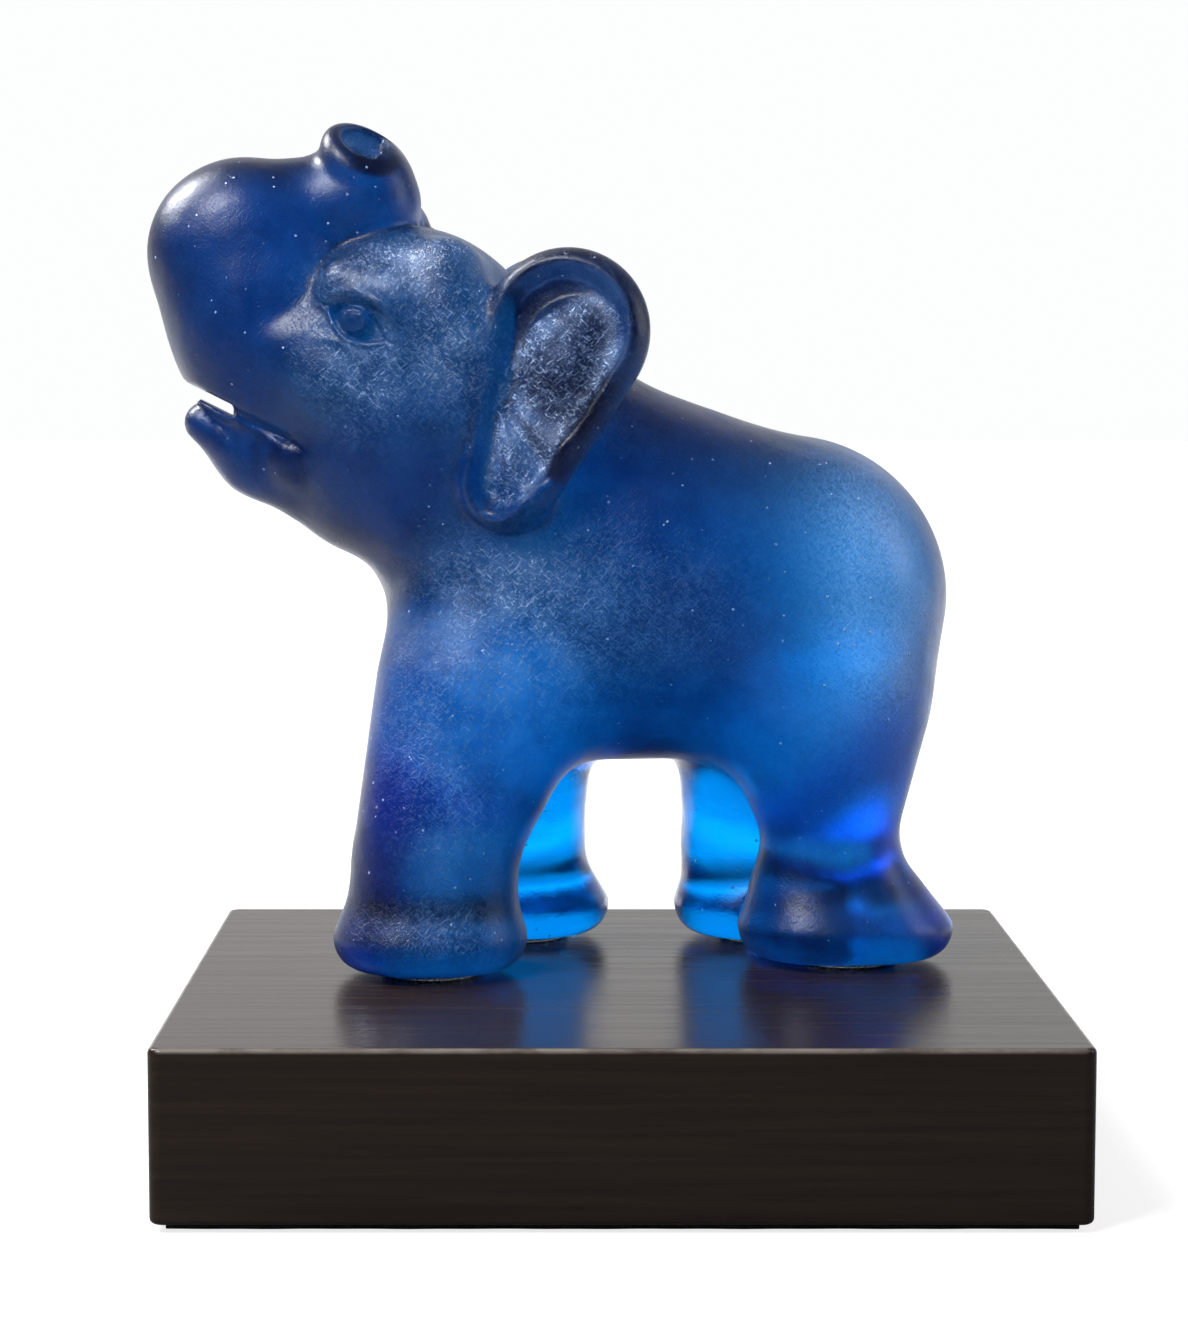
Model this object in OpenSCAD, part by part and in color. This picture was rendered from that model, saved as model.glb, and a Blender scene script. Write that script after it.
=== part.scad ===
// Cast glass elephant walking with its trunk thrown up, standing on a black wooden plinth.
// Millimetres. Origin at the centre of the underside of the felt, +Z up, the elephant faces -X.

/* [Plinth] */
// Width of the plinth, along the elephant
plinth_w = 200; // [180:1:260]
// Depth of the plinth, across the elephant
plinth_d = 170; // [130:1:220]
// Height of the wooden block
plinth_h = 38; // [20:1:70]
// Radius of the four upright corners
corner_r = 3; // [1.5:0.5:10]
// Width of the slope that eases the top and bottom edges
edge_ease = 1.2; // [0.5:0.1:3]
// Thickness of the felt under the plinth
felt_t = 1.5; // [1:0.1:4]
// How far the felt stops short of the edge of the wood
felt_inset = 3; // [1:0.5:12]

/* [Stance] */
// Thickness of the clear silicone pad under each foot
pad_t = 1; // [0.5:0.1:3]
// How far each pad stops short of the edge of its sole
pad_inset = 8.5; // [5:0.5:10]
// Shift of the whole elephant towards the back of the plinth
figure_y = 26; // [10:0.5:35]
// Turn of the whole elephant, head towards the front of the plinth
figure_turn = 4; // [0:1:8]
// Height of the middle of the chest above the soles
chest_z = 87; // [74:1:106]
// Distance from the middle of the chest to the middle of the rump
body_len = 59; // [50:1:72]
// Distance across the figure between the middles of the front feet
track_front = 47; // [43:1:52]
// Distance across the figure between the middles of the hind feet
track_hind = 33; // [32:1:44]
// Lead of the left front foot over the right one
step_front = 23.5; // [16:0.5:30]
// Lead of the right hind foot over the left one
step_hind = 15; // [10:0.5:24]

/* [Body] */
// Radius of the chest
chest_r = 38; // [33:0.5:42]
// Radius of the rump
rump_r = 36.5; // [32:0.5:42]
// Half the width of each sole
sole_r = 20.5; // [18:0.5:21]
// How much longer than wide each sole is
sole_stretch = 4; // [0:0.5:7]
// Radius of the front ankles
front_ankle_r = 19; // [15:0.5:20]
// Radius of the hind ankles
hind_ankle_r = 17; // [15:0.5:19]

/* [Head] */
// Radius of the head
head_r = 28; // [24:0.5:32]
// How far the head reaches forward of the chest
head_reach = 33; // [28:0.5:38]
// How far the head rises above the chest
head_rise = 59; // [50:0.5:66]
// Length of the lower jaw in front of the throat
jaw_len = 36; // [30:0.5:42]
// Radius of the rounded end of the jaw
jaw_tip_r = 4.5; // [3.5:0.1:6]

/* [Trunk] */
// Radius of the bend of the trunk, seen from the side
bend_r = 22.5; // [19:0.5:25]
// Half the width of the trunk, over its half height
trunk_flat = 0.85; // [0.7:0.01:1]
// Radius of the trunk beside its tip
tip_r = 9.5; // [8:0.5:12]
// Radius of the dish in the end of the trunk
nostril_r = 7; // [5:0.5:8]

/* [Ears] */
// Height of an ear
ear_h = 66; // [58:0.5:78]
// Width of an ear across its round upper part
ear_w = 41; // [38:0.5:52]
// Thickness of an ear over its rim
ear_t = 8; // [6:0.1:10]
// Depth of the dish in the face of an ear
ear_dish = 2.5; // [1:0.1:3.5]
// Turn of an ear away from the side of the head
ear_turn = 17; // [8:1:24]

/* [Hidden] */
clay_fn = 30;
small_fn = 24;
glass_blue = "#0b3f8f";
silicone_clear = "#dfe8ee";
wood_black = "#1e1917";
felt_black = "#161616";

// Levels, from the table up
plinth_z = felt_t;
sole_z = plinth_z + plinth_h + pad_t;

// Middles of the torso and of the feet, in the figure's own frame with its soles at z = 0
chest = [-14, 0, chest_z];
rump = chest + [body_len, 0, 0];
stride_front = chest.x - 19.25;
stride_hind = rump.x + 2.5;
hind_shift = 1.5;
hock_back = 3.5;
ear_tilt = 7;
left_front = [stride_front - step_front / 2, -track_front / 2, 0];
right_front = [stride_front + step_front / 2, track_front / 2, 0];
left_hind = [stride_hind + step_hind / 2, -track_hind / 2 + hind_shift, 0];
right_hind = [stride_hind - step_hind / 2, track_hind / 2 + hind_shift, 0];
thigh_z = chest_z - 24;
ankle_z = 26;
foot_roll = 4;
pad_r = sole_r - pad_inset;

// Head, trunk and ears hang on the middle of the head
head = chest + [-head_reach, 0, head_rise];
dome_split = 4;
bend = head + [-42, 0, 22];
tip = head + [-13.5, -2, 43];
ear_crown_r = ear_w / 2;
ear_lobe_r = ear_w * 0.3;
ear_lean = 12.8;
ear_crown = head + [32.4, -36.5, 3];

// A ball of clay, squashed across the figure by the factor given
module ball(middle, r, squash = 1, facets = clay_fn) {
    translate(middle) scale([1, squash, 1]) sphere(r, $fn = facets);
}

// Clay drawn out from one ball to another
module drawn(a, ra, b, rb, squash = 1, facets = clay_fn) {
    hull() {
        ball(a, ra, squash, facets);
        ball(b, rb, squash, facets);
    }
}

// A foot: flat under, rolled at the edge, tapering up to the ankle
module foot(at, ankle, ankle_r) {
    hull() {
        for (end = [-1, 1]) {
            translate(at + [end * sole_stretch / 2, 0, 0]) {
                cylinder(r = sole_r - foot_roll, h = foot_roll, $fn = clay_fn);
                translate([0, 0, foot_roll]) cylinder(r = sole_r, h = foot_roll, $fn = clay_fn);
            }
        }
        translate(ankle - [0, 0, foot_roll]) cylinder(r = ankle_r, h = foot_roll, $fn = clay_fn);
    }
}

// A leg from its sole to the thigh or shoulder, its ankle set back from the middle of the sole
module leg(at, back, ankle_r, thigh, thigh_r) {
    ankle = at + [-back, 0, ankle_z];
    foot(at, ankle, ankle_r);
    drawn(ankle, ankle_r, thigh, thigh_r);
}

// Chest, belly, rump and the thick neck
module torso() {
    drawn(chest, chest_r, rump, rump_r);
    drawn(chest + [8, 0, -5], chest_r - 4, rump + [-14, 0, -5], rump_r - 2.5);
    drawn(chest + [18, 0, 14], chest_r - 4.5, head + [8, 0, -14], head_r);
    drawn(chest + [-11, 0, 8], chest_r - 8, head + [6, 0, -21], head_r - 1);
}

// Twin-domed skull and full cheeks
module skull() {
    ball(head + [0, -dome_split, 0], head_r);
    ball(head + [0, dome_split, 1], head_r);
    ball(head + [-4, 0, -22], head_r);
}

// Trunk, thrown up and back until it lies on the forehead, with a dished end
module trunk() {
    root = head + [-16, 0, -2];
    fore = bend + [8, 0, -13];
    over = tip + [-13, 2, -12];
    wrist = tip + [-1, 0, -9];
    drawn(root, head_r - 3, bend + [12, 0, -22], bend_r + 1, trunk_flat);
    drawn(bend + [12, 0, -22], bend_r + 1, fore, bend_r + 3, trunk_flat);
    drawn(fore, bend_r + 3, bend, bend_r, trunk_flat);
    drawn(bend + [3, 0, 6.5], bend_r - 6.5, over, tip_r + 3.5);
    drawn(over, tip_r + 3.5, wrist, tip_r + 4);
    difference() {
        drawn(wrist, tip_r + 4, tip, tip_r, 1, small_fn);
        translate(tip) rotate([15, 35, 0]) translate([0, 0, nostril_r + 3]) sphere(nostril_r, $fn = small_fn);
    }
}

// Lower jaw with a rounded end, held open
module jaw() {
    throat = head + [-17, 0, -32];
    middle = throat + [-0.6 * jaw_len, 0, 5];
    drawn(throat, 16, middle, 9.5);
    drawn(middle, 9.5, throat + [-jaw_len, 0, 14], jaw_tip_r);
}

// An ear as an egg with its small end down, dished in its outer face
module ear() {
    flat = ear_t / ear_w;
    lobe = [-ear_lean, 0, -(ear_h - ear_crown_r - ear_lobe_r)];
    difference() {
        hull() {
            scale([1, flat, 1]) sphere(ear_crown_r, $fn = clay_fn);
            translate(lobe) scale([1, flat, 1]) sphere(ear_lobe_r, $fn = clay_fn);
        }
        translate([0, -ear_t / 2 - ear_dish, 0]) hull() {
            scale([1, 0.3, 1]) sphere(ear_crown_r - 4, $fn = clay_fn);
            translate(lobe) scale([1, 0.3, 1]) sphere(ear_lobe_r - 4, $fn = clay_fn);
        }
    }
}

// The ridge of the cheek that an ear grows from
module ear_root() {
    drawn(head + [6, -25, 17], 7.5, head + [10, -28.5, 0], 8);
    drawn(head + [10, -28.5, 0], 8, head + [8, -30, -15], 5.5);
}

// The figure in its own frame
module figure() {
    torso();
    skull();
    trunk();
    jaw();
    leg(left_front, 0, front_ankle_r, [left_front.x + 13, -15, thigh_z], 26);
    leg(right_front, 2, front_ankle_r - 1.5, [right_front.x - 4, 15, thigh_z], 25);
    leg(left_hind, hock_back, hind_ankle_r, [left_hind.x - 12, -12, thigh_z], 27.5);
    leg(right_hind, 2, hind_ankle_r, [right_hind.x + 2, 12, thigh_z], 26);
    for (side = [-1, 1]) {
        scale([1, -side, 1]) {
            ear_root();
            translate(ear_crown) rotate([-ear_tilt, 0, -ear_turn]) ear();
        }
    }
}

// The glass elephant, one casting
module elephant() {
    color(glass_blue) translate([0, figure_y, sole_z]) rotate([0, 0, figure_turn]) figure();
}

// The clear pad that a foot stands on
module pad(at) {
    color(silicone_clear) translate([0, figure_y, sole_z - pad_t]) rotate([0, 0, figure_turn])
        translate(at) cylinder(r = pad_r, h = pad_t, $fn = small_fn);
}

module pad_front_left() { pad(left_front); }
module pad_front_right() { pad(right_front); }
module pad_hind_left() { pad(left_hind); }
module pad_hind_right() { pad(right_hind); }

// A square with its corners rounded, centred
module rounded_square(w, d, r) {
    offset(r, $fn = 48) square([w - 2 * r, d - 2 * r], center = true);
}

// The wooden block, its long edges eased by a small slope
module plinth() {
    color(wood_black) translate([0, 0, plinth_z]) hull() {
        linear_extrude(plinth_h) rounded_square(plinth_w - 2 * edge_ease, plinth_d - 2 * edge_ease, corner_r);
        translate([0, 0, edge_ease]) {
            linear_extrude(plinth_h - 2 * edge_ease) rounded_square(plinth_w, plinth_d, corner_r);
        }
    }
}

// The felt glued under the block
module felt() {
    size = [plinth_w - 2 * felt_inset, plinth_d - 2 * felt_inset];
    color(felt_black) linear_extrude(felt_t) square(size, center = true);
}

elephant();
pad_front_left();
pad_front_right();
pad_hind_left();
pad_hind_right();
plinth();
felt();
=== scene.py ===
"""A cast glass elephant with its trunk thrown up, on a black wooden plinth, with a plain studio round it."""

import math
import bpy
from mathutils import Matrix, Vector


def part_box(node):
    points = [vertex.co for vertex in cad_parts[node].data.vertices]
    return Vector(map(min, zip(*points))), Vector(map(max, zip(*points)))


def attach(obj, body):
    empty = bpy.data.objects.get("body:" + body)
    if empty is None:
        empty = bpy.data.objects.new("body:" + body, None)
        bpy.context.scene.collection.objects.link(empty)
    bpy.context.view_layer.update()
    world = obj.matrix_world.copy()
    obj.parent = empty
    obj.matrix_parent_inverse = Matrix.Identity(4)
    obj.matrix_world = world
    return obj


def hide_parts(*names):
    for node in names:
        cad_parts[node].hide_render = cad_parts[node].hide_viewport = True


bl_info = {
    "name": "Cast Glass Elephant",
    "version": (1, 0, 0),
    "blender": (4, 5, 0),
    "location": "3D View > Sidebar > Elephant",
    "description": "Makes the glass elephant, its clear pads, its wooden plinth and felt, and a plain studio",
    "category": "Add Mesh",
}

import bpy
import numpy as np
import openvdb
from bpy.props import FloatProperty, FloatVectorProperty, PointerProperty
from mathutils import Euler, Vector

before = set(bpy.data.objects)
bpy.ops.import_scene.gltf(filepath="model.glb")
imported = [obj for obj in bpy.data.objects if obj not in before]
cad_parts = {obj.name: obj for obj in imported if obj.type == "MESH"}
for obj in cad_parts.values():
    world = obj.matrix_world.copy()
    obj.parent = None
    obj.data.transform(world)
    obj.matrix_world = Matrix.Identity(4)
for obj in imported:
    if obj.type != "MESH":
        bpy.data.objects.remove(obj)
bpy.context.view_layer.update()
MM = 0.001


# ---------------------------------------------------------------- helpers for the pieces


def middle_of(node):
    """The middle of a node's box."""
    low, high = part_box(node)
    return (low + high) / 2


def size_of(node):
    """The size of a node's box along each axis."""
    low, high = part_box(node)
    return high - low


def start_clean():
    """Leaves edit mode and deselects everything, so an operator acts only on its own piece."""
    if bpy.context.mode != "OBJECT":
        bpy.ops.object.mode_set(mode="OBJECT")
    bpy.ops.object.select_all(action="DESELECT")


def take_up(piece):
    """Makes the piece the only one selected and active."""
    start_clean()
    piece.select_set(True)
    bpy.context.view_layer.objects.active = piece


def newly_added(name):
    """Names the object that the last primitive operator added."""
    piece = bpy.context.object
    piece.name = name
    piece.data.name = name
    return piece


def pick_faces(piece, wanted):
    """Selects the faces whose number is true in wanted, ready for edit mode."""
    mesh = piece.data
    mesh.vertices.foreach_set("select", np.zeros(len(mesh.vertices), bool))
    mesh.edges.foreach_set("select", np.zeros(len(mesh.edges), bool))
    mesh.polygons.foreach_set("select", np.asarray(wanted, bool))
    bpy.context.tool_settings.mesh_select_mode = (False, False, True)


def pick_edges(piece, wanted):
    """Selects the edges for which wanted(start, end) holds, ready for edit mode."""
    mesh = piece.data
    mesh.polygons.foreach_set("select", np.zeros(len(mesh.polygons), bool))
    mesh.vertices.foreach_set("select", np.zeros(len(mesh.vertices), bool))
    for edge in mesh.edges:
        start, end = (mesh.vertices[i].co for i in edge.vertices)
        edge.select = bool(wanted(start, end))
    bpy.context.tool_settings.mesh_select_mode = (False, True, False)


def apply_modifier(piece, kind, **settings):
    """Adds one modifier with these settings and applies it."""
    take_up(piece)
    modifier = piece.modifiers.new(kind.title(), kind)
    for key, value in settings.items():
        setattr(modifier, key, value)
    bpy.ops.object.modifier_apply(modifier=modifier.name)


def settle_origin(piece):
    """Puts the object's own place, turn and scale into its mesh."""
    take_up(piece)
    bpy.ops.object.transform_apply(location=True, rotation=True, scale=True)


def points_of(piece):
    """The vertices of a piece as an array of rows."""
    mesh = piece.data
    flat = np.empty(len(mesh.vertices) * 3, np.float32)
    mesh.vertices.foreach_get("co", flat)
    return flat.reshape(-1, 3)


def centres_of(piece):
    """The middles of the faces of a piece as an array of rows."""
    mesh = piece.data
    flat = np.empty(len(mesh.polygons) * 3, np.float32)
    mesh.polygons.foreach_get("center", flat)
    return flat.reshape(-1, 3)


def finish_piece(piece, node, material):
    """Gives the piece its material and its place on the part, instead of its CAD node."""
    piece.data.materials.clear()
    piece.data.materials.append(material)
    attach(piece, "root")
    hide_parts(node)


# ---------------------------------------------------------------- the clay: blended forms, in millimetres
# The figure stands in a frame of its own: it faces -X, its soles are at z = 0 and y = 0 is its middle.
# Each form gives the distance of a point from its surface, less than nothing inside.

GRID_LOW = (-116.0, -49.0, -3.0)
GRID_HIGH = (86.0, 49.0, 204.0)
CHEST = (-14.0, 0.0, 87.0)
RUMP = (44.5, 0.0, 86.0)
BEND = (-89.2, 0.0, 167.8)
SOLE_R = 21.3
TIP = (-59.8, -4.0, 190.0)
TIP_FACES = (0.495, -0.50, 0.71)
EYE = (-61.8, 151.0)
EAR = (-14.6, -36.6, 149.0)
EAR_CROWN_R = 20.2
EAR_LOBE = (-12.2, -33.4, 12.8)
EAR_TURN = math.radians(17)
EAR_TILT = math.radians(7)


def weld(a, b, k):
    """Joins two forms with a fillet about k wide."""
    h = np.clip(k - np.abs(a - b), 0, None) / k
    return np.minimum(a, b) - h * h * k * 0.25


def carve(a, b, k):
    """Keeps what two forms share, with an edge rounded over k."""
    return -weld(-a, -b, k)


def ease(low, high, x):
    """Rises smoothly from 0 at low to 1 at high."""
    t = np.clip((x - low) / (high - low), 0, 1)
    return t * t * (3 - 2 * t)


def swell(x, width):
    """A soft hump, 1 in its middle."""
    return np.exp(-((x / width) ** 2))


def ball(p, middle, radius):
    """A ball of clay."""
    q = p - np.array(middle, np.float32)
    return np.sqrt((q * q).sum(-1)) - radius


def drawn(p, a, ra, b, rb, wide=1.0):
    """Clay drawn out from one ball to another, made wider or narrower across the figure."""
    a, b = np.array(a, np.float32), np.array(b, np.float32)
    if wide != 1.0:
        p = p.copy()
        p[..., 1] /= wide
        a[1] /= wide
        b[1] /= wide
    along = b - a
    length = float(np.sqrt(along @ along))
    along /= length
    taper = (ra - rb) / length
    q = p - a
    run = q @ along
    out = np.sqrt(np.clip((q * q).sum(-1) - run * run, 0, None))
    t = np.clip((run - out * taper / math.sqrt(1 - taper * taper)) / length, 0, 1)
    d = np.sqrt(out * out + (run - t * length) ** 2) - (ra + (rb - ra) * t)
    return d * min(wide, 1.0)


def axes_for(normal):
    """Two axes across a direction, and the direction, as columns."""
    n = np.array(normal, float)
    n /= np.linalg.norm(n)
    u = np.cross((0, 0, 1), n)
    u /= np.linalg.norm(u)
    return np.stack([u, np.cross(n, u), n], 1).astype(np.float32)


def torso(p):
    """Chest, belly, rump and the thick neck."""
    d = drawn(p, CHEST, 38, RUMP, 36, 0.98)
    d = weld(d, drawn(p, (-6, 0, 83), 34.5, (30, 0, 82.5), 34), 10)
    d = weld(d, drawn(p, (4, 0, 100.5), 33.4, (-39, 0, 131), 28), 14)
    d = weld(d, drawn(p, (12, 0, 96), 31.5, (40, 0, 92), 30), 10)
    return weld(d, drawn(p, (-23.2, 0, 95), 28.6, (-41, 0, 124), 25.6), 14)


def leg(p, sole, longer, ankle, ankle_r, thigh, thigh_r):
    """A leg that flares below its ankle to a broad foot, rolled under at the sole."""
    d = drawn(p, ankle, ankle_r, thigh, thigh_r)
    q = p - np.array((sole[0], sole[1], 0), np.float32)
    x = q[..., 0] - np.clip(q[..., 0], -longer, longer)
    y, z = q[..., 1], q[..., 2]
    back = ease(6, 26, z)
    x = x - (ankle[0] - sole[0]) * back
    y = y - (ankle[1] - sole[1]) * back
    flare = ankle_r - 3 + (SOLE_R - ankle_r + 3) * np.exp(-((np.clip(z - 8, 0, None) / 11.0) ** 1.3))
    foot = (np.sqrt(x * x + y * y) - flare) * 0.93
    foot = carve(foot, -z, 8.5)
    foot = carve(foot, z - 28, 12.0)
    return weld(d, foot, 7.0)


def legs(p):
    """The four legs in a slow walk."""
    left_front = leg(p, (-45.4, -24.0), 1.6, (-44.4, -23, 29), 18.8, (-32.5, -16, 64), 25.5)
    right_front = leg(p, (-20.6, 23.0), 0.0, (-22.6, 23, 29), 17.0, (-26, 15, 65), 24)
    left_hind = leg(p, (54.5, -15.5), 4.6, (50.9, -15, 31), 15.6, (48.8, -12, 61), 25.8)
    right_hind = leg(p, (39, 17.5), 1.0, (36.2, 18, 29), 17.2, (40, 12, 64), 25)
    return np.minimum(np.minimum(left_front, right_front), weld(left_hind, right_hind, 4))


def skull(p):
    """Twin-domed skull with full cheeks, brows and a ridge before each ear."""
    d = weld(ball(p, (-47, -8, 146), 26.7), ball(p, (-46.5, 8, 146.8), 26.7), 2.5)
    d = weld(d, weld(ball(p, (-50, -6, 124), 26), ball(p, (-50, 6, 124), 26), 6), 12)
    d = weld(d, drawn(p, (-60, 0, 146), 25, (-76, 0, 146), 22.5, 0.87), 12)
    for s in (-1, 1):
        d = weld(d, drawn(p, (-41, s * 25, 163), 7.5, (-38, s * 28.5, 146), 8), 7)
        d = weld(d, drawn(p, (-32, s * 33, 139.5), 3.2, (-41, s * 31, 130), 4.0), 3.5)
        d = weld(d, ball(p, (-68.5, s * 19.5, 138), 9), 7)
        d = weld(d, drawn(p, (-64, s * 23, 160), 5.0, (-55, s * 26.5, 156.5), 5.5), 7)
    return d


def trunk(p):
    """The trunk, thrown up and back over the forehead, with a dished and lipped end."""
    d = drawn(p, (-76.5, 0, 145.5), 22.4, (-81, 0, 154.4), 23.0, 0.87)
    d = weld(d, drawn(p, (-81, 0, 154.4), 23.0, BEND, 21.9, 0.87), 8)
    d = weld(d, drawn(p, (-86, 0, 172.5), 15.2, (-72, 0.5, 177), 12.2), 6)
    d = weld(d, drawn(p, (-72, 0.5, 177), 12.2, (-60.5, -1, 179.3), 13.0), 5)
    d = weld(d, drawn(p, (-60.5, -1, 179.3), 13.0, (-60.4, -2.2, 186.8), 10.0), 5)
    d = weld(d, ball(p, (-54.5, 8.5, 172), 11), 3)
    q = (p - np.array(TIP, np.float32)) @ axes_for(TIP_FACES)
    out = np.sqrt(q[..., 0] ** 2 + q[..., 1] ** 2)
    d = weld(d, np.sqrt((out - 8.2) ** 2 + q[..., 2] ** 2) - 2.6, 3.5)
    dish = (np.sqrt((out / 7.4) ** 2 + ((q[..., 2] - 1.2) / 4.4) ** 2) - 1) * 4.4
    return carve(d, -dish, 1.6)


def jaw(p):
    """The lower jaw and the two corners of the mouth."""
    d = drawn(p, (-98, 0, 127.8), 4.8, (-85, 0, 120.4), 9.0, 1.25)
    d = weld(d, drawn(p, (-85, 0, 120.4), 9.0, (-66, 0, 116), 15.4, 1.15), 6)
    for s in (-1, 1):
        d = weld(d, ball(p, (-76, s * 13.5, 119.5), 5.5), 5)
    return d


def eye(p):
    """How far an eye's lids, ball and pouch stand above the side of the head."""
    x, z, slope = p[..., 0] - EYE[0], p[..., 2] - EYE[1], math.radians(31)
    a = x * math.cos(slope) - z * math.sin(slope)
    b = x * math.sin(slope) + z * math.cos(slope)
    edge = np.abs(b) - 3.5 * np.clip(1 - (a / 7.3) ** 2, 0, None)
    inside = ease(0.4, -0.4, edge)
    h = -1.2 * swell(a, 9) * swell(b - 1, 6)
    h += 1.9 * swell(b - 6.8 + 0.05 * a * a, 1.7) * swell(a - 1.5, 7)
    h -= 1.6 * swell(b - 4.3 + 0.07 * a * a, 0.9) * swell(a, 6)
    h += 0.9 * swell(edge - 0.8, 0.7) * swell(a, 8) - 2.0 * inside
    out = np.sqrt((a + 1.1) ** 2 + (b - 0.2) ** 2)
    h += (3.7 * np.sqrt(np.clip(1 - (out / 4.0) ** 2, 0, 1)) + 0.25 * swell(out - 2.5, 0.35)) * inside
    h += 0.8 * swell(b + 5.6 + 0.04 * a * a, 1.6) * swell(a - 1, 6)
    return h * ease(14, 10, np.sqrt(a * a + b * b))


def ear_map(p, side):
    """Where points lie on an ear: along it, up it, out from it, in from its edge, and how high round it."""
    p = p.copy()
    p[..., 1] *= -side
    p = p - np.array(EAR, np.float32)
    t, u = EAR_TURN, EAR_TILT
    outward = np.array((-math.sin(t), -math.cos(t), 0))
    up = np.array((0, 0, 1.0))
    a = p @ np.array((math.cos(t), -math.sin(t), 0), np.float32)
    b = p @ (up * math.cos(u) - outward * math.sin(u)).astype(np.float32)
    n = p @ (outward * math.cos(u) + up * math.sin(u)).astype(np.float32)
    flat = np.stack([a, 0 * a, b], -1)
    egg = drawn(flat, (0, 0, 0), EAR_CROWN_R, (EAR_LOBE[0], 0, EAR_LOBE[1]), EAR_LOBE[2])
    high = np.clip(0.5 + 0.5 * np.cos(np.arctan2(a, b) + math.radians(35)), 0, 1)
    return a, b, n, -egg, high


def ear(p, side):
    """An ear: an egg-shaped plate with a rolled rim, a recess inside its top and fanning folds."""
    a, b, n, deep, high = ear_map(p, side)
    h = 2.1 * swell(deep - 3.9, 2.7)
    h -= (0.2 + 4.4 * high) * ease(4.6, 8.2, deep) * ease(20, 10, deep)
    h += (1.4 + 0.6 * high) * ease(8, 18, deep)
    fa, fb = a + 16.0, b + 14.0
    angle = np.degrees(np.arctan2(fa, -fb))
    fan = ease(3, 11, np.sqrt(fa * fa + fb * fb)) * ease(1.5, 6, deep)
    folds = 1.5 * swell(angle - 18, 9) - 1.9 * swell(angle + 3, 8)
    folds += 1.1 * swell(angle - 52, 10) - 1.0 * swell(angle - 36, 7)
    h = np.maximum(h + 1.7 * fan * folds, -3.3)
    plate = carve((n - 1.6 - h) * 0.85, -n - 4.4, 3.0)
    return carve(-deep * 0.97, plate, 5.0)


def figure(p):
    """The whole elephant."""
    d = weld(torso(p), legs(p), 11)
    d = weld(d, skull(p), 12)
    across = (p[..., 0] + 81) * -0.354 + (p[..., 2] - 162) * 0.935
    crease = ease(-15, -5, across) * ease(-90, -80, p[..., 0])
    d = weld(d, trunk(p), 12 - 10.8 * crease)
    line = (p[..., 0] + 96) * 0.447 + (p[..., 2] - 134) * 0.894
    d = weld(d, jaw(p), 0.6 + 3.5 * ease(-93, -89, p[..., 0]) + 6 * ease(-79, -66, p[..., 0]))
    slit = np.abs(line + 0.8) - 1.15
    d = carve(d, -carve(slit, p[..., 0] + 91, 0.8), 0.6)
    lips = swell(line + 0.6, 1.2) * ease(-72, -80, p[..., 0]) * ease(4, 9, np.abs(p[..., 1]))
    d = d + 1.0 * lips
    for side in (-1, 1):
        d = weld(d, ear(p, side), 3.5)
    beside = ease(8, 16, np.abs(p[..., 1]))
    d = d - eye(p) * beside * 0.95
    return carve(d, -p[..., 2], 1.0)


# ---------------------------------------------------------------- materials


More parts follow.
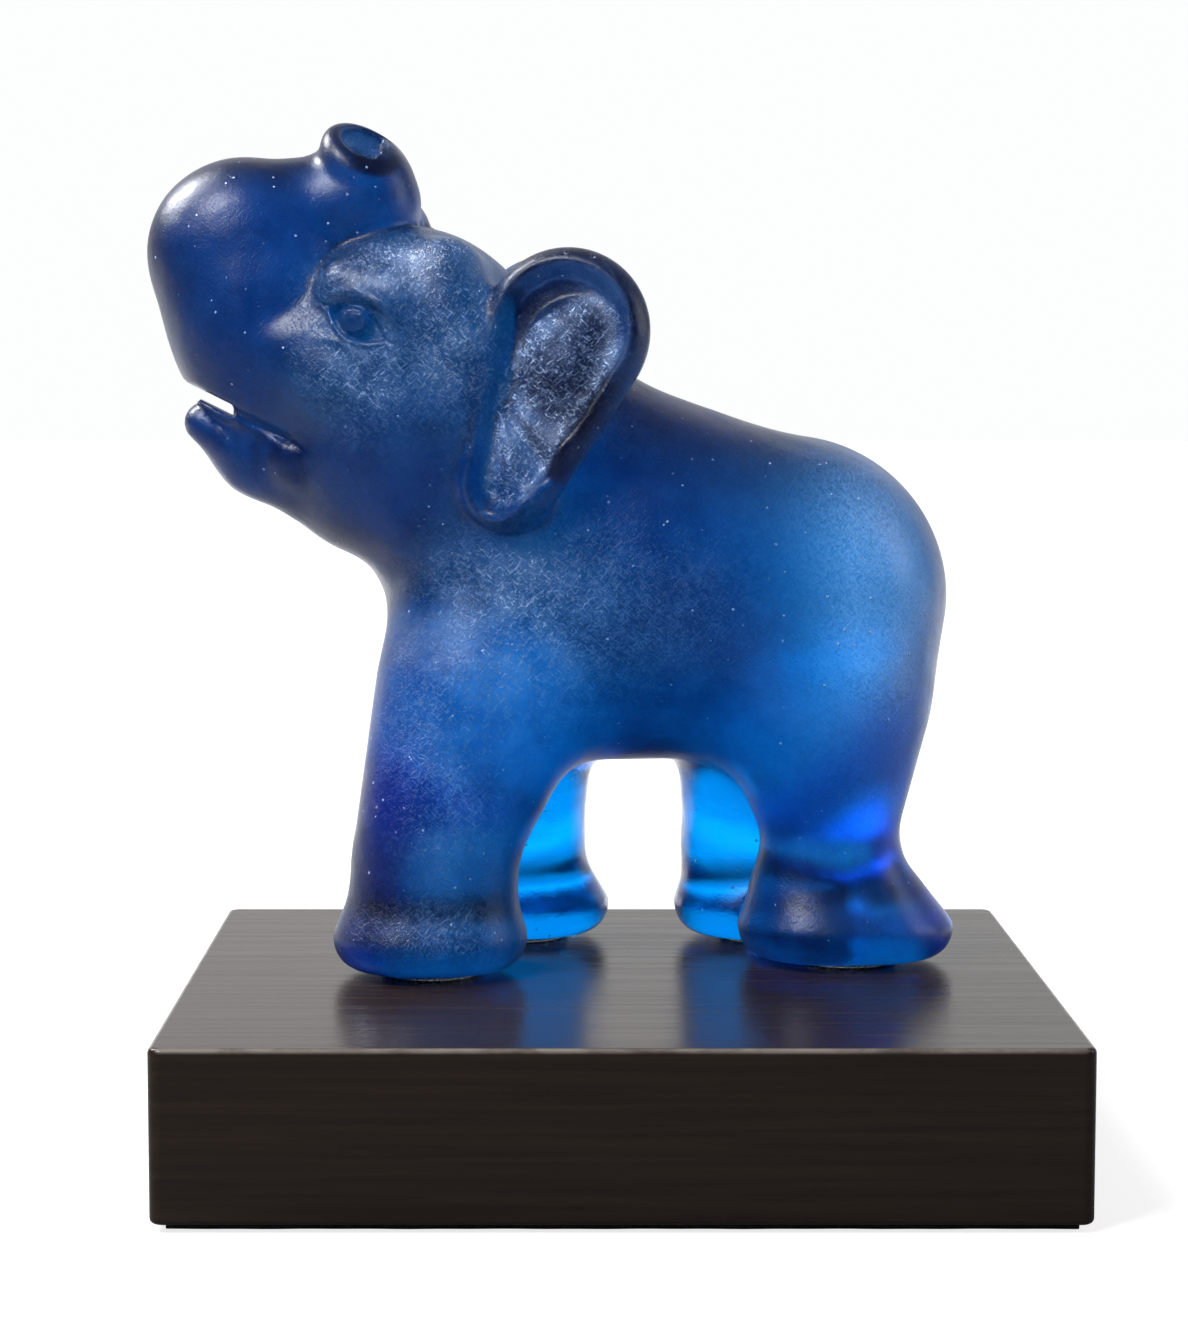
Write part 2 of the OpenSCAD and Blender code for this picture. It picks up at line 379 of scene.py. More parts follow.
class Recipe:
    """A material's node tree, with short calls for its nodes and links."""

    def __init__(self, name):
        self.material = bpy.data.materials.new(name)
        self.material.use_nodes = True
        self.tree = self.material.node_tree
        self.tree.nodes.clear()
        self.out = self.tree.nodes.new("ShaderNodeOutputMaterial")
        self.shader = self.tree.nodes.new("ShaderNodeBsdfPrincipled")
        self.link(self.shader, "BSDF", self.out, "Surface")
        self.place = self.tree.nodes.new("ShaderNodeTexCoord")

    def link(self, source, output, target, socket):
        self.tree.links.new(source.outputs[output], target.inputs[socket])

    def set(self, **values):
        for key, value in values.items():
            self.shader.inputs[key.replace("_", " ")].default_value = value

    def stretched(self, scale, turn=(0, 0, 0)):
        """Object coordinates turned and then scaled."""
        node = self.tree.nodes.new("ShaderNodeMapping")
        node.vector_type = "TEXTURE"
        node.inputs["Scale"].default_value = [1 / size for size in scale]
        node.inputs["Rotation"].default_value = turn
        self.link(self.place, "Object", node, "Vector")
        return node

    def noise(self, vector, scale, detail=3.0, rough=0.5, warp=0.0):
        node = self.tree.nodes.new("ShaderNodeTexNoise")
        node.inputs["Scale"].default_value = scale
        node.inputs["Detail"].default_value = detail
        node.inputs["Roughness"].default_value = rough
        node.inputs["Distortion"].default_value = warp
        self.link(vector, "Vector" if vector.type == "MAPPING" else "Object", node, "Vector")
        return node, "Fac"

    def cells(self, vector, scale, feature="F1"):
        node = self.tree.nodes.new("ShaderNodeTexVoronoi")
        node.feature = feature
        node.inputs["Scale"].default_value = scale
        self.link(vector, "Vector" if vector.type == "MAPPING" else "Object", node, "Vector")
        return node, "Distance"

    def remap(self, source, low, high, to_low=0.0, to_high=1.0, smooth=True):
        node = self.tree.nodes.new("ShaderNodeMapRange")
        node.interpolation_type = "SMOOTHSTEP" if smooth else "LINEAR"
        for key, value in (("From Min", low), ("From Max", high), ("To Min", to_low), ("To Max", to_high)):
            node.inputs[key].default_value = value
        self.link(source[0], source[1], node, "Value")
        return node, "Result"

    def math(self, operation, first, second=None, third=None):
        node = self.tree.nodes.new("ShaderNodeMath")
        node.operation = operation
        for index, value in enumerate((first, second, third)):
            if value is None:
                continue
            if isinstance(value, tuple):
                self.tree.links.new(value[0].outputs[value[1]], node.inputs[index])
            else:
                node.inputs[index].default_value = value
        return node, "Value"

    def lean(self, amount, first, second):
        """Mixes two numbers, each a number or a socket."""
        node = self.tree.nodes.new("ShaderNodeMix")
        for index, value in enumerate((amount, None, first, second)):
            if isinstance(value, tuple):
                self.tree.links.new(value[0].outputs[value[1]], node.inputs[index])
            elif value is not None:
                node.inputs[index].default_value = value
        return node, 0

    def blend(self, amount, first, second, kind="MIX"):
        """Mixes two colours, each a colour or a socket."""
        node = self.tree.nodes.new("ShaderNodeMix")
        node.data_type = "RGBA"
        node.blend_type = kind
        if isinstance(amount, tuple):
            self.tree.links.new(amount[0].outputs[amount[1]], node.inputs[0])
        else:
            node.inputs[0].default_value = amount
        for index, value in ((6, first), (7, second)):
            if isinstance(value[0], bpy.types.Node):
                self.tree.links.new(value[0].outputs[value[1]], node.inputs[index])
            else:
                node.inputs[index].default_value = (*value[:3], 1.0)
        return node, 2

    def bump(self, height, strength, distance, under=None):
        node = self.tree.nodes.new("ShaderNodeBump")
        node.inputs["Strength"].default_value = strength
        node.inputs["Distance"].default_value = distance
        self.link(height[0], height[1], node, "Height")
        if under is not None:
            self.link(under[0], under[1], node, "Normal")
        return node, "Normal"

    def feed(self, socket, source):
        self.tree.links.new(source[0].outputs[source[1]], self.shader.inputs[socket])


def glass_material(look):
    """Cobalt glass. Polished between the legs, where the far side is given a pale clear tint as painted
    backlight; milky over the rump, made paler there as a painted glow of the light from the right; brushed
    over the head and chest, with pale frosting laid where highlights fall as painted highlights.
    """
    r = Recipe("cobalt_glass")
    r.set(IOR=1.5, Specular_Tint=(*look.shine, 1.0))
    r.set(Coat_Roughness=look.sheen_rough, Coat_IOR=1.5)
    rim = r.tree.nodes.new("ShaderNodeLayerWeight")
    rim.inputs["Blend"].default_value = 0.5
    r.feed("Coat Weight", r.remap((rim, "Facing"), 0.35, 0.85, look.sheen, look.sheen * 0.08))
    # The finish layer carries painted light: red paints the backlight through the far legs, green the glow
    # over the rump, blue the highlights on the pale frosting.
    marks = r.tree.nodes.new("ShaderNodeAttribute")
    marks.attribute_name = "finish"
    split = r.tree.nodes.new("ShaderNodeSeparateColor")
    r.link(marks, "Color", split, "Color")
    polish_and_backlight, milk_and_glow, frost_and_highlight = (split, "Red"), (split, "Green"), (split, "Blue")
    fibre_a = r.noise(r.stretched((2500, 600, 600), (0.3, 0.75, 0.4)), 1.0, 2.0, 0.55, 1.2)
    fibre_b = r.noise(r.stretched((600, 600, 2500), (0.5, 0.55, 0.9)), 1.0, 2.0, 0.55, 1.2)
    grit = r.noise(r.place, 1700.0, 2.0, 0.7)
    skin = r.math("ADD", r.math("ADD", fibre_a, fibre_b), grit)
    strokes = r.remap(r.math("MAXIMUM", fibre_a, fibre_b), 0.54, 0.68)
    cloud = r.noise(r.place, 70.0, 5.0, 0.65)
    patches = r.remap(cloud, 0.36, 0.66)
    seeds = r.remap(r.cells(r.place, 330.0), 0.14, 0.08)
    seeds = r.math("MULTIPLY", seeds, r.remap(r.noise(r.place, 300.0), 0.5, 0.6))
    pins = r.remap(r.cells(r.stretched((410, 410, 410), (0.2, 0.1, 0.5)), 1.0), 0.1, 0.05)
    milk_and_glow = r.math("MULTIPLY", milk_and_glow, r.remap(skin, 1.2, 1.75, 0.55, 1.0))
    milk_and_glow = r.math("MULTIPLY", milk_and_glow, r.math("SUBTRACT", 1.0, r.math("MULTIPLY", pins, 0.5)))
    # Pale frosting broken by strokes and patches: an etched skin whose pale colour is laid where highlights
    # fall, as painted highlights.
    frost_and_highlight = r.math("MULTIPLY", frost_and_highlight, r.lean(strokes, r.lean(patches, 0.06, 0.34), r.lean(patches, 0.5, 1.0)))
    frost_and_highlight = r.math("MAXIMUM", frost_and_highlight, r.math("MULTIPLY", seeds, 0.9))
    tone = r.blend(patches, look.body, look.body_pale)
    # Over the rump the glass is made milky and paler: partly a milky cast, partly a painted glow of the light
    # from the right.
    tone = r.blend(milk_and_glow, tone, look.milky)
    # The far half of the legs takes a pale clear tint: painted backlight, the brightness of light shining
    # through them, on glass that is also smoother there.
    tone = r.blend(polish_and_backlight, tone, look.clear)
    # The pale frosting colour is painted highlight over the etched skin.
    r.feed("Base Color", r.blend(frost_and_highlight, tone, look.frosted_highlight))
    milk_and_glow_part = r.math("MULTIPLY", milk_and_glow, look.milk_and_glow_cover)
    frost_and_highlight_part = r.math("MULTIPLY", frost_and_highlight, look.frost_and_highlight_cover)
    cover = r.math("ADD", milk_and_glow_part, frost_and_highlight_part)
    r.feed("Transmission Weight", r.math("SUBTRACT", 1.0, cover))
    etched = r.remap(cloud, 0.3, 0.7, look.etch - 0.04, look.etch + 0.05)
    r.feed("Roughness", r.lean(polish_and_backlight, etched, look.polished))
    lumps = r.noise(r.place, 55.0, 2.0, 0.5)
    normal = r.bump(lumps, 0.2, 0.004)
    relief = r.math("MULTIPLY", skin, r.math("MULTIPLY_ADD", frost_and_highlight, 1.8, 0.5))
    brushed = r.bump(relief, look.skin, 0.00008, normal)
    r.feed("Normal", brushed)
    r.feed("Coat Normal", brushed)
    depth = r.tree.nodes.new("ShaderNodeVolumeAbsorption")
    depth.inputs["Color"].default_value = (*look.tint, 1.0)
    depth.inputs["Density"].default_value = look.density
    r.link(depth, "Volume", r.out, "Volume")
    return r.material


def wood_material(look):
    """Black-stained close-grained wood under a satin lacquer, with a pale line painted along its top edges as
    the highlight they catch, broken into worn patches.
    """
    r = Recipe("black_stained_wood")
    low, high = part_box("plinth")
    grain = r.noise(r.stretched((14, 520, 520)), 1.0, 6.0, 0.62, 0.3)
    pores = r.noise(r.stretched((60, 2200, 2200)), 1.0, 3.0, 0.6)
    broad = r.noise(r.stretched((3, 60, 60)), 1.0, 3.0, 0.5, 0.6)
    tone = r.blend(r.remap(grain, 0.35, 0.68), look.stain_dark, look.stain_light)
    tone = r.blend(r.remap(broad, 0.3, 0.7, 0.0, 0.35), tone, look.stain_dark)
    place = r.tree.nodes.new("ShaderNodeSeparateXYZ")
    r.link(r.place, "Object", place, "Vector")
    middle = (low + high) / 2
    off_x = r.math("ABSOLUTE", r.math("SUBTRACT", (place, "X"), middle.x))
    gap_x = r.math("SUBTRACT", high.x - middle.x, off_x)
    off_y = r.math("ABSOLUTE", r.math("SUBTRACT", (place, "Y"), middle.y))
    gap_y = r.math("SUBTRACT", high.y - middle.y, off_y)
    gap_z = r.math("SUBTRACT", high.z, (place, "Z"))
    near_side = r.math("MINIMUM", gap_x, gap_y)
    to_edge = r.math("ADD", near_side, gap_z)
    # A pale line along the top edges only: a painted highlight on the eased edges, partly wear, broken into
    # patches.
    rub_and_highlight = r.remap(to_edge, 0.0013, 0.0006)
    patches = r.remap(r.noise(r.stretched((60, 60, 200)), 1.0, 4.0, 0.65), 0.3, 0.6, 0.35, 1.0)
    rub_and_highlight = r.math("MULTIPLY", rub_and_highlight, patches)
    tone = r.blend(r.math("MULTIPLY", rub_and_highlight, 0.55), tone, look.rubbed_and_highlit)
    r.feed("Base Color", tone)
    gloss = r.remap(grain, 0.3, 0.7, look.gloss - 0.04, look.gloss + 0.06)
    r.feed("Roughness", gloss)
    height = r.math("ADD", r.math("MULTIPLY", grain, 0.7), r.math("MULTIPLY", pores, 0.5))
    r.feed("Normal", r.bump(height, look.grain_depth, 0.0003))
    r.set(IOR=1.5, Specular_IOR_Level=0.12)
    return r.material


def silicone_material():
    """Clear soft silicone, a little milky."""
    r = Recipe("clear_silicone")
    r.set(Base_Color=(0.86, 0.9, 0.93, 1), Transmission_Weight=0.85, IOR=1.41, Roughness=0.2)
    dust = r.noise(r.place, 900.0, 3.0, 0.6)
    r.feed("Roughness", r.remap(dust, 0.3, 0.7, 0.14, 0.34))
    r.feed("Normal", r.bump(dust, 0.15, 0.0002))
    return r.material


def felt_material():
    """Black wool felt."""
    r = Recipe("black_felt")
    fuzz = r.noise(r.place, 1400.0, 4.0, 0.7, 1.0)
    tufts = r.noise(r.place, 260.0, 3.0, 0.6, 0.5)
    mat = r.math("ADD", r.math("MULTIPLY", fuzz, 0.6), r.math("MULTIPLY", tufts, 0.6))
    r.feed("Base Color", r.blend(r.remap(mat, 0.4, 0.8), (0.006, 0.006, 0.006), (0.028, 0.027, 0.026)))
    r.set(Roughness=0.95, Sheen_Weight=0.3, Sheen_Roughness=0.5)
    r.feed("Normal", r.bump(mat, 0.6, 0.0005))
    return r.material


def paper_material(look):
    """White paper for the floor, glowing towards the back to light the piece from behind, and plain white to
    the eye.
    """
    r = Recipe("white_paper")
    r.set(Base_Color=(*look.paper, 1.0), Roughness=0.9, Specular_IOR_Level=0.1, Emission_Color=(1, 1, 1, 1))
    place = r.tree.nodes.new("ShaderNodeSeparateXYZ")
    r.link(r.place, "Object", place, "Vector")
    away = r.tree.nodes.new("ShaderNodeVectorMath")
    away.operation = "LENGTH"
    r.link(r.place, "Object", away, "Vector")
    lit = r.remap((place, "Y"), 0.12, 0.6, 0.0, look.sweep_glow)
    plain = r.remap((away, "Value"), 0.15, 1.2, look.paper_glow, look.far_glow)
    path = r.tree.nodes.new("ShaderNodeLightPath")
    r.feed("Emission Strength", r.lean((path, "Is Camera Ray"), lit, plain))
    fleck = r.noise(r.place, 500.0, 2.0, 0.5)
    r.feed("Normal", r.bump(fleck, 0.02, 0.0002))
    return r.material


# ---------------------------------------------------------------- sizes and finishes


class ElephantSizes(bpy.types.PropertyGroup):
    """Sizes of the glass elephant and of its mesh."""

    turn: FloatProperty(
        name="Turn", description="Turn of the elephant on its plinth",
        default=math.radians(4), subtype="ANGLE",
    )
    mesh_size: FloatProperty(
        name="Mesh size", description="Size of the faces before the fine forms",
        default=1.5 * MM, unit="LENGTH",
    )


class GlassLook(bpy.types.PropertyGroup):
    """Finish of the glass."""

    body: FloatVectorProperty(
        name="Body", description="Colour of the etched glass", default=(0.001, 0.020, 0.108), subtype="COLOR"
    )
    body_pale: FloatVectorProperty(
        name="Pale body", description="Colour of its paler clouds",
        default=(0.001, 0.043, 0.195), subtype="COLOR",
    )
    # Pale tint laid on the far side of the legs and the arch: painted backlight.
    clear: FloatVectorProperty(
        name="Clear", description="Colour of the polished glass", default=(0.001, 0.36, 1.0), subtype="COLOR"
    )
    # The milky colour over the rump is partly a painted glow of the light from the right.
    milky: FloatVectorProperty(
        name="Milky", description="Colour of the milky glass of the rump",
        default=(0.20, 0.41, 0.80), subtype="COLOR",
    )
    # Pale colour of the frosting, laid where highlights fall: painted highlight.
    frosted_highlight: FloatVectorProperty(
        name="Frosted", description="Colour of the frosted skin", default=(0.34, 0.46, 0.72), subtype="COLOR"
    )
    tint: FloatVectorProperty(
        name="Tint", description="Colour that depth adds", default=(0.02, 0.85, 0.96), subtype="COLOR"
    )
    shine: FloatVectorProperty(
        name="Shine", description="Colour of the reflections", default=(0.012, 0.022, 0.050), subtype="COLOR"
    )
    density: FloatProperty(name="Density", description="Strength of the tint, per metre", default=45.0)
    etch: FloatProperty(name="Etch", description="Roughness of the etched skin", default=0.34)
    polished: FloatProperty(name="Polished", description="Roughness of the polished skin", default=0.1)
    # How much the milky skin, with its painted glow, hides the depth.
    milk_and_glow_cover: FloatProperty(
        name="Milk cover", description="How much the milky skin hides the depth",
        default=0.42,
    )
    # How much the painted highlights of the frosting hide the depth.
    frost_and_highlight_cover: FloatProperty(
        name="Frost cover", description="How much the frosted skin hides the depth",
        default=0.8,
    )
    sheen: FloatProperty(name="Sheen", description="Strength of the satin sheen", default=0.34)
    sheen_rough: FloatProperty(
        name="Sheen roughness", description="Roughness of the satin sheen",
        default=0.31,
    )
    skin: FloatProperty(name="Skin", description="Strength of the brushed marks", default=1.0)


class PlinthLook(bpy.types.PropertyGroup):
    """Sizes and finish of the plinth."""

    corner: FloatProperty(
        name="Corner", description="Radius of the upright corners", default=3.0 * MM, unit="LENGTH"
    )
    edge: FloatProperty(
        name="Edge", description="Radius of the top and bottom edges", default=1.2 * MM, unit="LENGTH"
    )
    stain_dark: FloatVectorProperty(
        name="Dark stain", description="Colour of the dense grain",
        default=(0.0112, 0.0070, 0.0052), subtype="COLOR",
    )
    stain_light: FloatVectorProperty(
        name="Light stain", description="Colour of the open grain",
        default=(0.0180, 0.0117, 0.0087), subtype="COLOR",
    )
    # Pale colour of the top edges: a painted highlight, partly wear.
    rubbed_and_highlit: FloatVectorProperty(
        name="Rubbed edge", description="Colour of the rubbed edges",
        default=(0.25, 0.22, 0.2), subtype="COLOR",
    )
    gloss: FloatProperty(name="Gloss", description="Roughness of the lacquer", default=0.22)
    grain_depth: FloatProperty(name="Grain depth", description="Strength of the grain's relief", default=0.12)


class StudioLook(bpy.types.PropertyGroup):
    """The plain studio."""

    paper: FloatVectorProperty(
        name="Paper", description="Colour of the floor", default=(0.26, 0.26, 0.263), subtype="COLOR"
    )
    paper_glow: FloatProperty(
        name="Paper glow", description="Light added to the floor by the piece",
        default=0.80,
    )
    far_glow: FloatProperty(name="Far glow", description="How white the far floor looks", default=0.97)
    sweep_glow: FloatProperty(name="Sweep glow", description="Light added to the floor far away", default=1.4)
    roof: FloatProperty(name="Roof", description="Brightness of the roof of the room", default=0.2)
    room: FloatProperty(name="Room", description="Brightness of the dim side of the room", default=0.02)
    key: FloatProperty(name="Key", description="Power of the light from the upper left", default=24.0)
    side: FloatProperty(name="Side", description="Power of the light from the right", default=4.0)
    top: FloatProperty(name="Top", description="Power of the overhead light", default=21.0)


# ---------------------------------------------------------------- the pieces


class FIGURINE_OT_elephant(bpy.types.Operator):
    """Models the glass elephant from the clay forms: skinned from a grid of their distances, settled on the
    forms and detailed
    """

    bl_idname = "figurine.make_elephant"
    bl_label = "Glass elephant"

    def execute(self, context):
        sizes = context.scene.elephant_sizes
        self.place(sizes)
        piece = self.cast(sizes.mesh_size / MM)
        self.settle(piece, 3, 3)
        self.refine(piece)
        self.settle(piece, 2, 1)
        self.refine(piece, finest=True)
        self.settle(piece, 3, 1)
        self.mark_finish_and_light(piece)
        take_up(piece)
        bpy.ops.object.shade_smooth()
        finish_piece(piece, "elephant", glass_material(context.scene.glass_look))
        return {"FINISHED"}

    def cast(self, step):
        """Fills a grid with the clay's distances and skins it as a closed mesh of quads."""
        low = np.array(GRID_LOW) + step / 2
        counts = np.ceil((np.array(GRID_HIGH) - low) / step).astype(int)
        axes = [(low[i] + step * np.arange(counts[i])).astype(np.float32) for i in range(3)]
        field = np.empty(counts, np.float32)
        for i, x in enumerate(axes[0]):
            layer = np.stack(np.meshgrid(np.array([x]), axes[1], axes[2], indexing="ij"), -1)
            field[i] = figure(layer[0])
        grid = openvdb.FloatGrid(3.0 * step)
        grid.copyFromArray(np.clip(field, -3 * step, 3 * step))
        points, quads = grid.convertToQuads(0.0)
        points = points * step + low
        corners = points[quads]
        across = np.cross(corners[:, 2] - corners[:, 0], corners[:, 3] - corners[:, 1])
        if (across * corners.mean(1)).sum() < 0:
            quads = quads[:, ::-1]
        points, quads = self.one_skin(points, quads)
        mesh = bpy.data.meshes.new("glass_elephant")
        mesh.from_pydata(self.to_part(points).tolist(), [], quads.tolist())
        piece = bpy.data.objects.new("glass_elephant", mesh)
        bpy.context.collection.objects.link(piece)
        return piece

    def one_skin(self, points, quads):
        """Keeps the largest connected skin and drops specks left where a hollow is finer than the grid."""
        label = np.arange(len(points))
        while True:
            least = label[quads].min(1)
            lower = label.copy()
            for corner in range(4):
                np.minimum.at(lower, quads[:, corner], least)
            lower = lower[lower]
            if (lower == label).all():
                break
            label = lower
        kept = label == np.bincount(label).argmax()
        renumbered = np.cumsum(kept) - 1
        return points[kept], renumbered[quads[kept[quads[:, 0]]]]

    def to_part(self, points):
        return ((points.astype(np.float32) * np.float32(MM)) @ self.turn.T + self.stand).astype(np.float32)

    def mark_finish_and_light(self, piece):
        """Marks where the glass is polished and given a painted backlight tint (red), milky with a painted
        glow (green), and etched pale as painted highlights (blue).
        """
        p = self.to_figure(points_of(piece))
        x, y, z = p.T
        # Red: the far half of the legs and the inside of the arch, smoother glass painted a pale tint for the
        # backlight that shines through them.
        far_legs = ease(-2, 8, y) * ease(78, 64, z)
        inner = ease(-8, 0, y) * ease(72, 58, z)
        polish_and_backlight = np.maximum(far_legs, inner)
        # Green: a milky, paler patch over the right of the rump and up the back, partly painted as the glow
        # the light from the right gives there.
        milk_and_glow = 1.3 * swell(x - 62, 17) * swell(z - 84, 38) + 0.25 * swell(x - 50, 26) * swell(z - 110, 20)
        # Blue: pale frosting on the head's ridges, brow and cheek, the chest, the ear plates, the throat and
        # the near front foot, where highlights fall: painted highlights on an etched skin.
        head = ease(-84, -68, x) * ease(112, 126, z) * ease(4, -6, (x + 81) * -0.354 + (z - 162) * 0.935)
        chest = 1.3 * swell(x + 26, 20) * swell(z - 84, 22) + 0.5 * swell(x - 4, 24) * swell(z - 84, 16)
        chest += 0.75 * swell(x + 42, 12) * swell(z - 46, 28)
        ears = np.zeros_like(x)
        for side in (-1, 1):
            _, _, n, deep, high = ear_map(p, side)
            face = ease(0, 2.5, deep - 4.5 - 9 * high ** 2) * ease(-2.5, -1.5, n)
            ears = np.maximum(ears, face * ease(29, 33, side * y))
        tip = p - np.array(TIP, np.float32)
        end = np.sqrt((tip ** 2).sum(1))
        dished = 0.9 * ease(9.0, 6.0, end) * ease(-4.0, -1.0, tip @ np.array(TIP_FACES, np.float32))
        throat = swell(x + 72, 22) * swell(z - 112, 10)
        ridge = swell(x + 40, 8) * swell(z - 152, 16) + swell(x + 62, 12) * swell(z - 140, 9)
        ridge += 0.9 * swell(x + 56, 16) * swell(z - 165, 8)
        head *= ease(10, 22, np.abs(y) + (z - 140) * 0.6) * np.clip(0.2 + 1.2 * ridge, 0, 1)
        # The near front foot's pale patch is a painted highlight where the foot flares upward.
        feet = 0.6 * swell(z - 12, 7) * swell(x + 44, 16) * ease(0, -10, y) + dished
        frost_and_highlight = np.maximum(np.maximum(head, 1.35 * ears), 0.8 * chest)
        frost_and_highlight = np.maximum(np.maximum(frost_and_highlight, 0.12 * throat), feet) * (1 - polish_and_backlight)
        frost_and_highlight = np.maximum(frost_and_highlight, 0.04 * (1 - polish_and_backlight))
        frost_and_highlight *= 1 - 0.85 * swell(np.hypot(x - EYE[0] + 1, z - EYE[1]), 3.6) * ease(4, 10, np.abs(y))
        marks = np.stack([polish_and_backlight, np.clip(milk_and_glow, 0, 1) * (1 - polish_and_backlight), frost_and_highlight, np.ones_like(x)], 1)
        layer = piece.data.attributes.new("finish", "FLOAT_COLOR", "POINT")
        layer.data.foreach_set("color", marks.astype(np.float32).ravel())

    def place(self, sizes):
        """Works out where the figure's own frame stands, from the pad under its left front foot."""
        c, s = math.cos(sizes.turn), math.sin(sizes.turn)
        self.turn = np.array(((c, -s, 0), (s, c, 0), (0, 0, 1)), np.float32)
        pad = np.array(middle_of("pad_front_left"), np.float32)
        pad[2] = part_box("elephant")[0].z
        self.stand = pad - self.turn @ np.array((-45.0 * MM, -23.5 * MM, 0), np.float32)

    def to_figure(self, points):
        return ((points - self.stand) @ self.turn / MM).astype(np.float32)

    def settle(self, piece, rounds, relaxed):
        """Moves the vertices onto the clay forms, easing them apart along the surface in the first rounds."""
        mesh = piece.data
        p = self.to_figure(points_of(piece))
        ends = np.empty(len(mesh.edges) * 2, np.int32)
        mesh.edges.foreach_get("vertices", ends)
        ends = ends.reshape(-1, 2)
        count = np.bincount(ends.ravel(), minlength=len(p)).astype(np.float32)[:, None]
        nudge = np.float32(0.04)
        for turn in range(rounds):
            d = figure(p)
            slope = np.empty_like(p)
            for axis in range(3):
                q = p.copy()
                q[:, axis] += nudge
                slope[:, axis] = (figure(q) - d) / nudge
            steep = np.clip((slope * slope).sum(1), 0.25, None)
            move = slope * (d / steep)[:, None]
            far = np.sqrt((move * move).sum(1))
            p -= move * np.minimum(1, 3.0 / np.clip(far, 1e-6, None))[:, None]
            if turn < relaxed:
                total = np.zeros_like(p)
                for axis in range(3):
                    total[:, axis] = np.bincount(ends[:, 0], p[ends[:, 1], axis], len(p))
                    total[:, axis] += np.bincount(ends[:, 1], p[ends[:, 0], axis], len(p))
                pull = total / count - p
                normal = slope / np.sqrt(steep)[:, None]
                p += 0.5 * (pull - normal * (pull * normal).sum(1)[:, None])
        mesh.vertices.foreach_set("co", self.to_part(p).ravel())
        mesh.update()

    def refine(self, piece, finest=False):
        """Divides the faces once more where the fine forms are, or only where the finest are."""
        p = self.to_figure(centres_of(piece))
        beside = np.abs(p[:, 1]) > 12
        by_eye = (np.hypot(p[:, 0] - EYE[0], p[:, 2] - EYE[1]) < (9 if finest else 12)) & beside
        by_tip = np.sqrt(((p - np.array(TIP, np.float32)) ** 2).sum(1)) < (11 if finest else 14)
        line = (p[:, 0] + 96) * 0.447 + (p[:, 2] - 134) * 0.894
        by_mouth = (np.abs(line) < 4) & (p[:, 0] < -70)
        by_ear = (np.minimum(ear(p, -1), ear(p, 1)) < 0.6) & (np.abs(p[:, 1]) > 26)
        wanted = by_eye | by_tip if finest else by_eye | by_tip | by_mouth | by_ear
        pick_faces(piece, wanted)
        take_up(piece)
        bpy.ops.object.mode_set(mode="EDIT")
        bpy.ops.mesh.subdivide(number_cuts=1)
        bpy.ops.object.mode_set(mode="OBJECT")


class FIGURINE_OT_pads(bpy.types.Operator):
    """Models one clear pad as a soft-edged disc and copies it under each foot"""

    bl_idname = "figurine.make_pads"
    bl_label = "Clear pads"

    def execute(self, context):
        names = [n for n in sorted(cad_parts) if n.startswith("pad_")]
        size = size_of(names[0])
        start_clean()
        bpy.ops.mesh.primitive_cylinder_add(vertices=64, radius=size.x / 2, depth=size.z, location=(0, 0, 0))
        disc = newly_added("clear_" + names[0])
        pick_faces(disc, [abs(f.normal.z) > 0.9 for f in disc.data.polygons])
        bpy.ops.object.mode_set(mode="EDIT")
        bpy.ops.mesh.inset(thickness=size.x * 0.03)
        bpy.ops.object.mode_set(mode="OBJECT")
        rim = size.x / 2 * 0.99
        pick_edges(disc, lambda a, b: a.z * b.z > 0 and a.xy.length > rim and b.xy.length > rim)
        bpy.ops.object.mode_set(mode="EDIT")
        bpy.ops.mesh.bevel(offset=size.z * 0.3, segments=3, affect="EDGES")
        bpy.ops.object.mode_set(mode="OBJECT")
        take_up(disc)
        bpy.ops.object.shade_smooth_by_angle(angle=math.radians(40))
        material = silicone_material()
        for name in names:
            take_up(disc)
            if name != names[0]:
                bpy.ops.object.duplicate()
                newly_added("clear_" + name)
        for name in names:
            piece = bpy.data.objects["clear_" + name]
            piece.location = middle_of(name)
            settle_origin(piece)
            finish_piece(piece, name, material)
        return {"FINISHED"}


class FIGURINE_OT_plinth(bpy.types.Operator):
    """Models the wooden plinth as a block with rounded corners and eased edges"""

    bl_idname = "figurine.make_plinth"
    bl_label = "Wooden plinth"

    def execute(self, context):
        look = context.scene.plinth_look
        size = size_of("plinth")
        start_clean()
        bpy.ops.mesh.primitive_cube_add(size=1, location=middle_of("plinth"))
        piece = newly_added("wooden_plinth")
        piece.scale = size
        settle_origin(piece)
        pick_edges(piece, lambda a, b: abs(a.z - b.z) > size.z / 2)
        bpy.ops.object.mode_set(mode="EDIT")
        bpy.ops.mesh.bevel(offset=look.corner, segments=8, affect="EDGES")
        bpy.ops.object.mode_set(mode="OBJECT")
        pick_faces(piece, [abs(f.normal.z) > 0.9 for f in piece.data.polygons])
        bpy.ops.object.mode_set(mode="EDIT")
        bpy.ops.mesh.bevel(offset=look.edge, segments=4, affect="EDGES")
        bpy.ops.object.mode_set(mode="OBJECT")
        take_up(piece)
        bpy.ops.object.shade_smooth()
        apply_modifier(piece, "WEIGHTED_NORMAL", mode="FACE_AREA", weight=100)
        finish_piece(piece, "plinth", wood_material(look))
        return {"FINISHED"}


